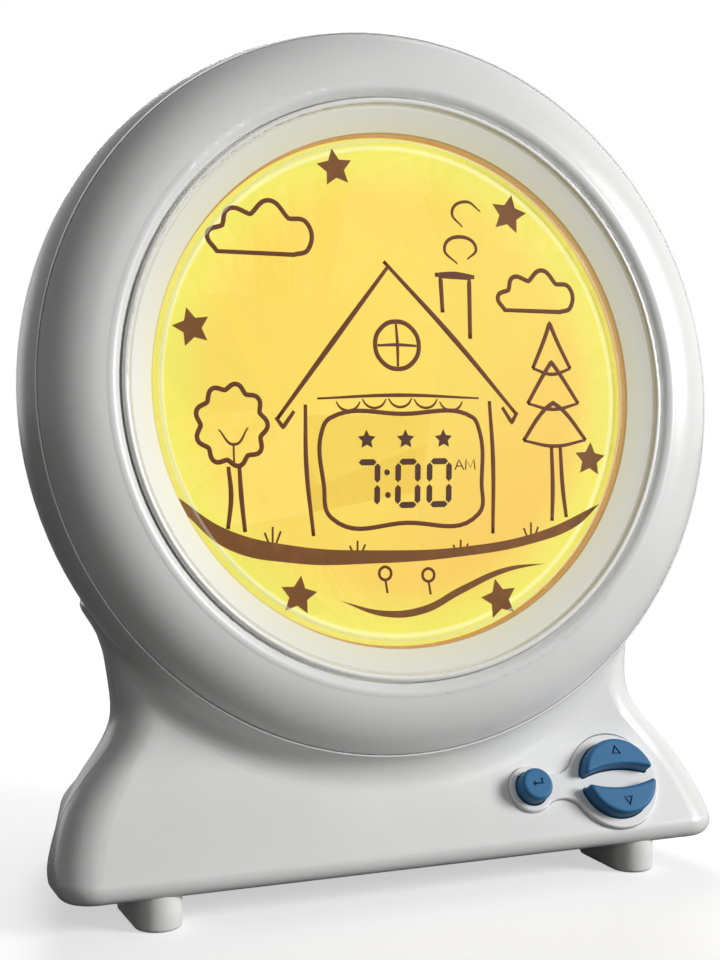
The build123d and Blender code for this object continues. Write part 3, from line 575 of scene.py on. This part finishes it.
def house_strokes(wide):
    """Cottage front: walls, roof, chimney, attic window, smoke, display frame and awning."""
    strokes = [
        line([(-23.6, -3.4), (-23.9, -18.0), (-22.8, -33.6)], wide, 0.25),
        line([(23.6, -2.6), (23.9, -17.0), (23.0, -34.4)], wide, 0.25),
        line([(-30.5, -6.6), (-16.0, 11.4), (-1.2, 29.6)], 1.15 * wide, 0.35),
        line([(-2.6, 30.4), (14.6, 12.6), (30.6, -5.6)], 1.15 * wide, 0.35),
        line([(-26.4, -4.9), (-29.2, -8.6, 1), (-30.9, -6.3)], 0.9 * wide, 0.2),
        line([(27.0, -4.1), (29.4, -7.8, 1), (31.0, -5.3)], 0.9 * wide, 0.2),
        line([(-20.6, -2.0), (0.0, -1.2), (20.8, -1.9)], 0.8 * wide, 0.5),
        line([(12.2, 18.6), (12.0, 27.2, 1), (19.6, 27.0, 1), (19.2, 12.4)], wide, 0.1),
        line([(10.6, 27.6), (15.8, 27.9), (21.0, 27.3)], 1.1 * wide, 0.2),
        loop(circle_points(0.0, 10.6, 5.6), 0.95 * wide),
        line([(0.0, 5.6), (0.1, 10.6), (-0.1, 15.6)], 0.7 * wide, 0.3),
        line([(-5.0, 10.5), (0.0, 10.7), (5.0, 10.5)], 0.7 * wide, 0.3),
        line([(16.6, 30.4), (13.4, 34.2), (17.6, 37.0), (21.8, 34.4), (19.4, 31.6)],
             0.8 * wide, 0.6),
        line([(18.4, 39.4), (15.8, 43.0), (19.6, 45.6), (23.4, 43.4)], 0.7 * wide, 0.6),
        loop([(-17.4, -6.4), (0.8, -5.6), (18.8, -6.4), (20.4, -9.0), (20.6, -22.0),
              (19.4, -29.6), (0.6, -31.2), (-18.2, -29.6), (-19.8, -22.0), (-19.6, -9.0)],
             0.9 * wide),
    ]
    for i in range(5):
        scallop = arc_points(-13.0 + 6.6 * i, -1.6 + 0.2 * i * (4 - i), 3.2, 200, 340)
        strokes.append(line(scallop, 0.55 * wide, 0.5))
    return strokes


def garden_strokes(wide):
    """Round tree, fir tree, tufts of grass and two flowers."""
    tree_x, tree_y, fir_x = -41.5, -8.0, 41.0
    crown = []
    for i in range(9):
        bulge, notch = radians(40.0 * i), radians(40.0 * i + 20.0)
        crown.append((tree_x + 8.6 * cos(bulge), tree_y + 9.4 * sin(bulge)))
        crown.append((tree_x + 7.2 * cos(notch), tree_y + 8.0 * sin(notch), 1))
    strokes = [
        loop(crown, 0.95 * wide),
        line([(-42.6, -17.4), (-42.2, -24.0), (-43.2, -31.4)], wide, 0.2),
        line([(-40.0, -17.6), (-39.8, -24.0), (-39.2, -32.2)], wide, 0.2),
        line([(-44.6, -9.0), (-41.0, -12.4), (-37.6, -8.6)], 0.6 * wide, 0.5),
        line([(-41.2, -12.6), (-41.2, -17.0)], 0.6 * wide, 0.3),
    ]
    for i, (half, low) in enumerate(((5.2, 5.4), (7.0, -3.2), (8.6, -12.2))):
        left, right = fir_x - half, fir_x + half
        sides = [
            (left, low, 1), (fir_x - 0.3 * half, low + 7.4), (fir_x, low + 11.2 - i, 1),
            (fir_x + 0.3 * half, low + 7.4), (right, low, 1),
        ]
        hem = [(left, low), (fir_x, low - 1.4), (right, low)]
        strokes += [line(sides, 0.95 * wide, 0.15), line(hem, 0.8 * wide, 0.3)]
    strokes += [
        line([(40.0, -14.0), (39.8, -24.0), (39.2, -31.8)], wide, 0.2),
        line([(42.4, -14.0), (42.6, -24.0), (43.2, -31.0)], wide, 0.2),
    ]
    tufts = ((-33.0, -35.4, 4.2), (-12.4, -38.6, 3.6), (14.0, -39.4, 3.8), (33.0, -36.4, 4.4))
    for x, y, tall in tufts:
        strokes += [
            line([(x - 1.6, y + 0.7 * tall), (x - 0.5, y)], 0.7 * wide, 0.4),
            line([(x + 0.4, y + tall), (x + 0.2, y)], 0.7 * wide, 0.4),
            line([(x + 2.3, y + 0.75 * tall), (x + 0.9, y)], 0.7 * wide, 0.4),
        ]
    for x, y in ((-5.4, -42.8), (5.6, -43.6)):
        strokes += [
            loop(circle_points(x, y, 1.5, 6), 0.6 * wide),
            line([(x, y - 1.6), (x + 0.4, y - 4.6)], 0.6 * wide, 0.2),
        ]
    return strokes


def cloud_strokes(wide):
    """Two outlined clouds."""
    puffs = [
        (-10.5, -3.6, 1), (-12.6, 0.4), (-9.0, 2.4, 1), (-7.4, 6.2), (-2.2, 5.2, 1),
        (2.4, 8.6), (7.0, 4.6, 1), (11.4, 3.8), (11.6, -2.4), (8.0, -3.8, 1),
    ]
    return [
        loop([(x + size * p[0], y + size * p[1], *p[2:]) for p in puffs], 0.95 * wide)
        for x, y, size in ((-33.0, 35.0, 1.0), (37.5, 22.5, 0.82))
    ]


# Bold ground line that thins towards its ends.
GROUND = [
    (-54.6, -24.0, 1), (-44.0, -31.2), (-28.0, -35.6), (-6.0, -37.4), (16.0, -37.2),
    (36.0, -34.2), (52.6, -28.0, 1), (46.0, -33.2), (34.0, -37.0), (14.0, -39.6),
    (-8.0, -40.4), (-28.0, -39.6), (-44.0, -35.6), (-53.2, -27.6, 1),
]

# Thin line of a second hill, low on the dial.
FAR_HILL = [
    (-17.0, -48.6, 1), (-6.0, -51.4), (4.0, -50.8), (14.0, -46.6), (26.0, -42.6),
    (37.0, -42.0, 1), (26.0, -43.8), (14.0, -48.4), (4.0, -52.6), (-6.0, -52.8),
]

# Stars: middle, reach and turn in degrees.
STARS = (
    (-14, 52, 4.6, 8), (31, 43, 4.9, -12), (-50, 14, 4.6, 14),
    (50.5, -17, 4.3, -6), (-27, -47, 4.6, -10), (24, -50, 4.9, 12),
)

# The two small letters beside the time.
HALF_DAY = (
    line([(13.7, -19.0), (14.85, -16.5, 1), (16.0, -19.0)], 0.3),
    line([(14.15, -18.1), (15.55, -18.1)], 0.28),
    line([(16.5, -19.0), (16.7, -16.5, 1), (17.75, -18.5, 1), (18.8, -16.5, 1), (19.0, -19.0)],
         0.3),
)


def digit_shapes(x, y, height, name):
    """Seven-segment digit of pointed bars, with its middle at x and y."""
    bar = DIGIT_BAR * height
    gap = DIGIT_GAP * height
    tip = bar / 2
    half_w = DIGIT_WIDE * height / 2 - tip
    half_h = height / 2 - tip
    level_bars = {"a": (0.0, half_h), "d": (0.0, -half_h)}
    upright_bars = {
        "b": (half_w, half_h / 2), "c": (half_w, -half_h / 2),
        "f": (-half_w, half_h / 2), "e": (-half_w, -half_h / 2),
    }
    shapes = []
    for key in LIT_BARS[name]:
        level = key in level_bars
        middle_x, middle_y = level_bars[key] if level else upright_bars[key]
        end = (half_w if level else half_h / 2) - gap
        points = [(-end, 0.0), (-end + tip, tip), (end - tip, tip),
                  (end, 0.0), (end - tip, -tip), (-end + tip, -tip)]
        if not level:
            points = [(py, px) for px, py in points][::-1]
        points = [(x + middle_x + px, y + middle_y + py) for px, py in points]
        shapes.append(filled([(px + DIGIT_SLANT * (py - y), py) for px, py in points]))
    return shapes


# ------------------------------------------------------------------ operators
class ClockSettings(bpy.types.PropertyGroup):
    """Colours, sizes and levels that a user may change."""

    shell_color: bpy.props.FloatVectorProperty(
        name="Shell", description="Colour of the housing", subtype="COLOR", size=4,
        default=srgb(238, 238, 237))
    key_color: bpy.props.FloatVectorProperty(
        name="Keys", description="Colour of the keys", subtype="COLOR", size=4,
        default=srgb(48, 114, 162))
    ink_color: bpy.props.FloatVectorProperty(
        name="Lines", description="Colour of the line art", subtype="COLOR", size=4,
        default=srgb(104, 46, 14))
    solid_color: bpy.props.FloatVectorProperty(
        name="Solids", description="Colour of the solid art", subtype="COLOR", size=4,
        default=srgb(126, 74, 24))
    glow: bpy.props.FloatProperty(
        name="Glow", description="How strongly the dial is lit", subtype="FACTOR",
        default=0.84, min=0.0, soft_max=2.0)
    line_width: bpy.props.FloatProperty(
        name="Line", description="Width of the main drawn lines", unit="LENGTH",
        default=1.15 * MM, min=0.1 * MM, precision=5)
    digit_height: bpy.props.FloatProperty(
        name="Digits", description="Height of the time digits", unit="LENGTH",
        default=11.6 * MM, min=1.0 * MM, precision=5)
    lamp_power: bpy.props.FloatProperty(
        name="Lamps", description="Level of the studio lamps", subtype="FACTOR",
        default=1.0, min=0.0, soft_max=2.0)


class CLOCK_OT_shell(bpy.types.Operator):
    """Finish the housing, rings, plate and feet"""

    bl_idname = "clock.shell"
    bl_label = "Shell"

    def execute(self, context):
        look = context.scene.clock_settings
        shell = moulded("shell white", tuple(look.shell_color), 0.32, coat=0.12, shine=0.36)
        dress(shell, "front_housing", "rear_housing", "bezel_ring", "button_plate")
        dress(moulded("bead white", srgb(252, 252, 246), 0.2, coat=0.6), "trim_ring")
        dress(dish_cream("dish cream"), "dish_ring")
        dress(rubbery("foot rubber", srgb(244, 244, 242)), "front_feet", "rear_feet")
        dress(metal("screw zinc", (0.62, 0.63, 0.65, 1.0), 0.32), "housing_screws")
        return {"FINISHED"}


class CLOCK_OT_window(bpy.types.Operator):
    """Finish the window, film and display"""

    bl_idname = "clock.window"
    bl_label = "Window"

    def execute(self, context):
        look = context.scene.clock_settings
        dress(lens_clear("window clear"), "clear_lens")
        dress(printed_yellow("film yellow", look.glow), "picture_film")
        dress(milky("diffuser milk", srgb(248, 240, 210), 0.2), "diffuser_plate")
        dress(milky("display glass", srgb(214, 190, 96), 0.1), "lcd_panel")
        dress(moulded("display frame", srgb(222, 222, 220), 0.5), "lcd_frame")
        dress(milky("light box white", srgb(240, 240, 236), 0.05), "light_box")
        return {"FINISHED"}


class CLOCK_OT_keys(bpy.types.Operator):
    """Finish the keys and ink their marks"""

    bl_idname = "clock.keys"
    bl_label = "Keys"

    def execute(self, context):
        look = context.scene.clock_settings
        blue = moulded(
            "key blue", tuple(look.key_color), 0.5, grain=0.08, shade=0.12, shine=0.28)
        black = moulded("plunger black", srgb(30, 30, 32), 0.4)
        dress(blue, "ok_button", "up_button", "down_button")
        dress(black, "ok_plunger", "up_plunger", "down_plunger")
        dark = ink("mark ink", srgb(18, 34, 54), 0.45)
        for side, name in ((1, "up"), (-1, "down")):
            corners = [
                (*spoke(PAIR_X, side * PAIR_MARK, MARK_REACH, radians(90 * side + turn)), 1)
                for turn in (0, 120, 240, 360)
            ]
            self.ink_mark(f"{name}_mark", [line(corners, MARK_LINE)], dark, f"{name}_button")
        arrow = [
            line([(OK_X + 1.1, 1.1, 1), (OK_X + 1.1, 0.0, 1), (OK_X - 1.0, 0.0, 1)], MARK_LINE),
            line([(OK_X - 0.5, 0.5, 1), (OK_X - 1.1, 0.0, 1), (OK_X - 0.5, -0.5, 1)], MARK_LINE),
        ]
        self.ink_mark("enter_mark", arrow, dark, "ok_button")
        return {"FINISHED"}

    def ink_mark(self, name, strokes, finish, key):
        """Ink strokes on the floor of a key's shallow mark."""
        place = on_keys(KEY_TOP - MARK_DEPTH + MARK_LIFT)
        new_piece(name, joined([brush(strokes)], place, flatten=MARK_FLAT), finish, key)


class CLOCK_OT_picture(bpy.types.Operator):
    """Draw the cottage, hills, trees, clouds and stars on the film"""

    bl_idname = "clock.picture"
    bl_label = "Picture"

    def execute(self, context):
        look = context.scene.clock_settings
        wide = look.line_width / MM
        thin_ink = ink("line brown", tuple(look.ink_color))
        bold_ink = ink("solid brown", tuple(look.solid_color))
        place = on_dial(INK_DEPTH)
        drawn = (
            ("house_lines", house_strokes(wide)),
            ("garden_lines", garden_strokes(wide)),
            ("cloud_lines", cloud_strokes(wide)),
        )
        for name, strokes in drawn:
            mesh = joined([brush(strokes)], place, flatten=INK_FLAT)
            new_piece(name, mesh, thin_ink, BODY)
        hills = [filled(outline, smooth=True) for outline in (GROUND, FAR_HILL)]
        new_piece("ground_band", joined(hills, place), bold_ink, BODY)
        stars = [filled(star_points(*star)) for star in STARS]
        new_piece("stars", joined(stars, place), bold_ink, BODY)
        return {"FINISHED"}


class CLOCK_OT_time(bpy.types.Operator):
    """Draw the time digits and the three small signs over them"""

    bl_idname = "clock.time"
    bl_label = "Time"

    def execute(self, context):
        look = context.scene.clock_settings
        height = look.digit_height / MM
        dark = ink("display ink", srgb(70, 24, 8), 0.4)
        place = on_dial(INK_DEPTH)
        shapes = []
        for x, name in ((-9.0, "7"), (1.3, "0"), (9.4, "0")):
            shapes += digit_shapes(x, TIME_Y, height, name)
        for y in (-19.3, -24.6):
            shapes.append(filled(circle_points(-3.9, y, 0.72, 12)))
        new_piece("time_digits", joined(shapes, place), dark, BODY)
        mesh = joined([brush(HALF_DAY, steps=3)], place, flatten=0.2)
        new_piece("half_day_letters", mesh, dark, BODY)
        signs = [filled(star_points(x, -11.6, 2.35)) for x in (-8.7, 1.2, 11.0)]
        new_piece("day_signs", joined(signs, place), dark, BODY)
        return {"FINISHED"}


class CLOCK_OT_inside(bpy.types.Operator):
    """Finish the boards, lamps, speaker, inlet, cables and screws"""

    bl_idname = "clock.inside"
    bl_label = "Inside"

    def execute(self, context):
        black = moulded("part black", srgb(34, 34, 36), 0.45)
        ivory = moulded("socket ivory", srgb(226, 220, 200), 0.45)
        small = metal("small screw zinc", (0.55, 0.56, 0.58, 1.0), 0.35)
        dress(board_green("board green"), "led_board", "main_board", "key_board")
        dress(black, "main_parts", "led_header", "key_switches", "power_inlet")
        dress(ivory, "cable_sockets", "ribbon_socket", "speaker_clamps")
        dress(milky("lamp clear", srgb(250, 232, 160), 0.6), "leds")
        dress(sleeve("ribbon amber", srgb(190, 130, 60)), "lcd_ribbon")
        dress(sleeve("cable grey", srgb(70, 72, 76)), "key_cable")
        dress(sleeve("cable red", srgb(150, 34, 30)), "speaker_cable")
        dress(sleeve("cable black", srgb(38, 38, 40)), "inlet_cable")
        dress(moulded("basket black", srgb(44, 44, 46), 0.4, coat=0.2), "speaker_basket")
        dress(paper("cone paper", srgb(52, 48, 44)), "speaker_cone")
        dress(metal("magnet grey", (0.2, 0.2, 0.21, 1.0), 0.55), "speaker_magnet")
        dress(metal("pin brass", (0.78, 0.6, 0.3, 1.0), 0.28), "inlet_pin")
        dress(small, "bezel_screws", "light_box_screws", "led_board_screws",
              "main_board_screws", "key_board_screws")
        return {"FINISHED"}


class CLOCK_OT_stage(bpy.types.Operator):
    """Set the floor, the lamps, the room and the camera"""

    bl_idname = "clock.stage"
    bl_label = "Stage"

    def execute(self, context):
        look = context.scene.clock_settings
        self.floor()
        self.room()
        for name, place, target, size, watts in LAMPS:
            self.lamp(name, place, target, size, watts * look.lamp_power)
        self.camera()
        context.scene.view_settings.view_transform = "Standard"
        return {"FINISHED"}

    def lamp(self, name, place, target, size, watts):
        """A square lamp that faces its target."""
        light = bpy.data.lights.new(name, "AREA")
        light.shape = "SQUARE"
        light.size = size
        light.energy = watts
        holder = bpy.data.objects.new(name, light)
        holder.location = place
        aim = Vector(target) - Vector(place)
        holder.rotation_euler = aim.to_track_quat("-Z", "Y").to_euler()
        bpy.context.scene.collection.objects.link(holder)

    def camera(self):
        """The camera, level with the dial and to its left."""
        camera = bpy.data.cameras.new("camera")
        camera.lens = CAMERA_LENS
        camera.sensor_width = CAMERA_SENSOR
        camera.clip_start = 0.01
        holder = bpy.data.objects.new("camera", camera)
        holder.location = CAMERA_PLACE
        holder.rotation_euler = (radians(90.0 - CAMERA_DROP), 0.0, -radians(CAMERA_TURN))
        bpy.context.scene.collection.objects.link(holder)
        bpy.context.scene.camera = holder

    def floor(self):
        """A wide plain floor."""
        bm = bmesh.new()
        bmesh.ops.create_grid(bm, x_segments=1, y_segments=1, size=FLOOR_HALF)
        mesh = bpy.data.meshes.new("floor")
        bm.to_mesh(mesh)
        bm.free()
        ground = bpy.data.objects.new("floor", mesh)
        bpy.context.scene.collection.objects.link(ground)
        mesh.materials.append(self.floor_finish().material)

    def floor_finish(self):
        """White to the eye, with the object's shadow near it; dull to every other ray."""
        made = Finish("floor pale", Roughness=0.9)
        x, y, _ = made.axes()
        far = made.ramp(reach(x, y), FLOOR_NEAR, FLOOR_FAR)
        seen = made.node("ShaderNodeLightPath", out="Is Camera Ray")
        made.set(Base_Color=made.mix(seen, FLOOR_DULL, FLOOR_SEEN))
        matt = Wire(made, made.shader.outputs[0])
        lift, white = (
            made.node("ShaderNodeEmission", inputs={"Color": WHITE, "Strength": strength})
            for strength in (FLOOR_LIFT, 1.0)
        )
        near = made.node("ShaderNodeAddShader", inputs={0: matt, 1: lift})
        shown = made.node("ShaderNodeMixShader", inputs={0: far, 1: near, 2: white})
        final = made.node("ShaderNodeMixShader", inputs={0: seen, 1: matt, 2: shown})
        made.feed(made.tree.nodes["Material Output"].inputs["Surface"], final)
        return made

    def room(self):
        """White where it is seen, mirrored or looked at through glass, and faint as light."""
        world = bpy.data.worlds.new("room")
        bpy.context.scene.world = world
        world.use_nodes = True
        world.node_tree.nodes.clear()
        sheet = Sheet(world.node_tree)
        straight = sheet.node("ShaderNodeLightPath", out="Is Camera Ray")
        through = straight.out("Is Transmission Ray")
        mirrored = straight.out("Is Glossy Ray")
        seen = sheet.math("MAXIMUM", sheet.math("MAXIMUM", straight, through), mirrored)
        faint, white = (
            sheet.node("ShaderNodeBackground", inputs={"Color": WHITE, "Strength": strength})
            for strength in (ROOM_LIGHT, 1.0)
        )
        shown = sheet.node("ShaderNodeMixShader", inputs={0: seen, 1: faint, 2: white})
        sheet.node("ShaderNodeOutputWorld", inputs={"Surface": shown})


class CLOCK_PT_panel(bpy.types.Panel):
    """Lists the clock's groups and settings"""

    bl_label = "Clock"
    bl_idname = "CLOCK_PT_panel"
    bl_space_type = "VIEW_3D"
    bl_region_type = "UI"
    bl_category = "Clock"

    def draw(self, context):
        look = context.scene.clock_settings
        for name in ClockSettings.__annotations__:
            self.layout.prop(look, name)
        for operator in OPERATORS:
            self.layout.operator(operator.bl_idname)


OPERATORS = (
    CLOCK_OT_shell,
    CLOCK_OT_window,
    CLOCK_OT_keys,
    CLOCK_OT_picture,
    CLOCK_OT_time,
    CLOCK_OT_inside,
    CLOCK_OT_stage,
)
CLASSES = (ClockSettings, *OPERATORS, CLOCK_PT_panel)


def register():
    for item in CLASSES:
        bpy.utils.register_class(item)
    bpy.types.Scene.clock_settings = bpy.props.PointerProperty(type=ClockSettings)


def unregister():
    del bpy.types.Scene.clock_settings
    for item in reversed(CLASSES):
        bpy.utils.unregister_class(item)


def main():
    register()
    for operator in OPERATORS:
        group, name = operator.bl_idname.split(".")
        getattr(getattr(bpy.ops, group), name)()


if __name__ == "__main__":
    main()
